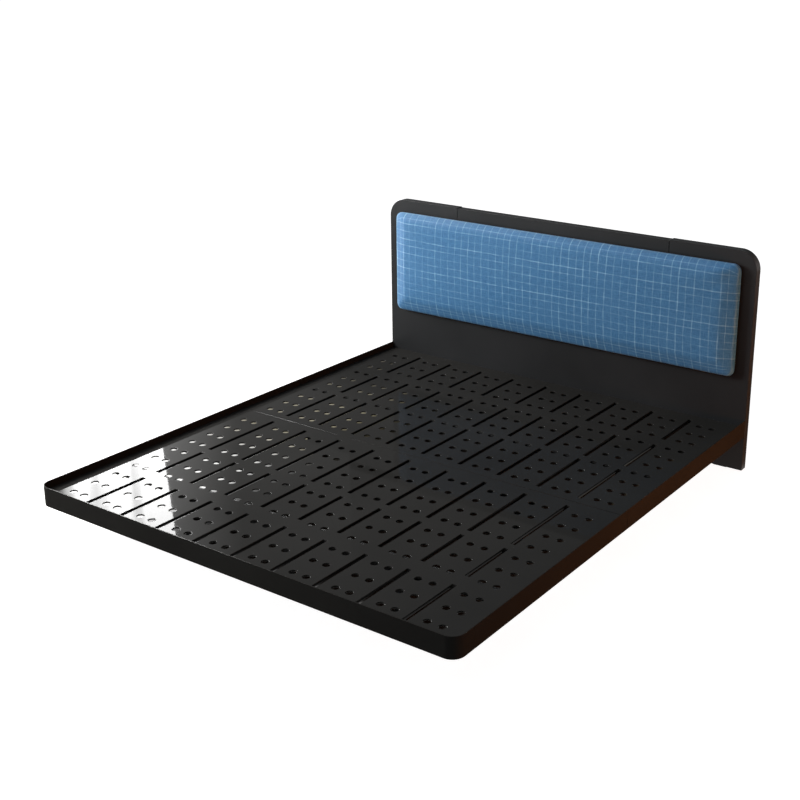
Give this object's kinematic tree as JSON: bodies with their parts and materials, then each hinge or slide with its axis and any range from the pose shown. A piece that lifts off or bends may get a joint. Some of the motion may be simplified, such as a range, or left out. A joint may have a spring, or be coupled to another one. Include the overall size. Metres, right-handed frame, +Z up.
{
  "type": "floating bed",
  "caption": "Low steel platform bed on hidden recessed legs, with a perforated two-part deck, a lipped apron and a hollow headboard that carries a check-cloth cushion.",
  "frame": {"origin": "on the floor, under the centre of the bounding box of the whole bed", "axes": "+X to the right seen from the foot, +Y from the foot towards the headboard, +Z up"},
  "size_m": [1.83, 2.1, 0.935],
  "materials": {
    "deck_black": "gloss",
    "apron_black": "satin",
    "frame_black": "matte",
    "headboard_black": "satin",
    "check_fabric": "matte",
    "plywood": "raw",
    "glide_plastic": "matte",
    "zinc_steel": "satin"
  },
  "bodies": {
    "root": {"deck_panel_foot": "deck_black", "deck_panel_head": "deck_black", "apron_foot": "apron_black", "apron_foot_left": "apron_black", "apron_foot_right": "apron_black", "apron_head_left": "apron_black", "apron_head_right": "apron_black", "corner_gussets": "frame_black", "foot_frame_left_rail": "frame_black", "foot_frame_right_rail": "frame_black", "foot_frame_end_tube": "frame_black", "foot_frame_leg_tube": "frame_black", "foot_frame_cross_tube": "frame_black", "foot_frame_joint_channel": "frame_black", "head_frame_left_rail": "frame_black", "head_frame_right_rail": "frame_black", "head_frame_joint_channel": "frame_black", "head_frame_cross_tube": "frame_black", "head_frame_leg_tube": "frame_black", "head_frame_end_channel": "frame_black", "leg_beam_foot": "frame_black", "leg_beam_middle": "frame_black", "leg_beam_head": "frame_black", "leg_foot_left": "frame_black", "leg_foot_centre": "frame_black", "leg_foot_right": "frame_black", "leg_middle_left": "frame_black", "leg_middle_centre": "frame_black", "leg_middle_right": "frame_black", "leg_head_left": "frame_black", "leg_head_centre": "frame_black", "leg_head_right": "frame_black", "leg_glides": "glide_plastic", "headboard_front_panel": "headboard_black", "headboard_back_panel": "headboard_black", "headboard_foot_rail": "frame_black", "headboard_splice_rail": "frame_black", "headboard_post_left": "frame_black", "headboard_post_inner_left": "frame_black", "headboard_post_inner_right": "frame_black", "headboard_post_right": "frame_black", "headboard_cap_left": "headboard_black", "headboard_cap_centre": "headboard_black", "headboard_cap_right": "headboard_black", "headboard_glides": "glide_plastic", "cushion": "check_fabric", "cushion_backboard": "plywood", "cushion_bolts": "zinc_steel", "joint_bolts": "zinc_steel", "joint_nuts": "zinc_steel", "headboard_bolts": "zinc_steel", "headboard_nuts": "zinc_steel"}
  },
  "joints": []
}
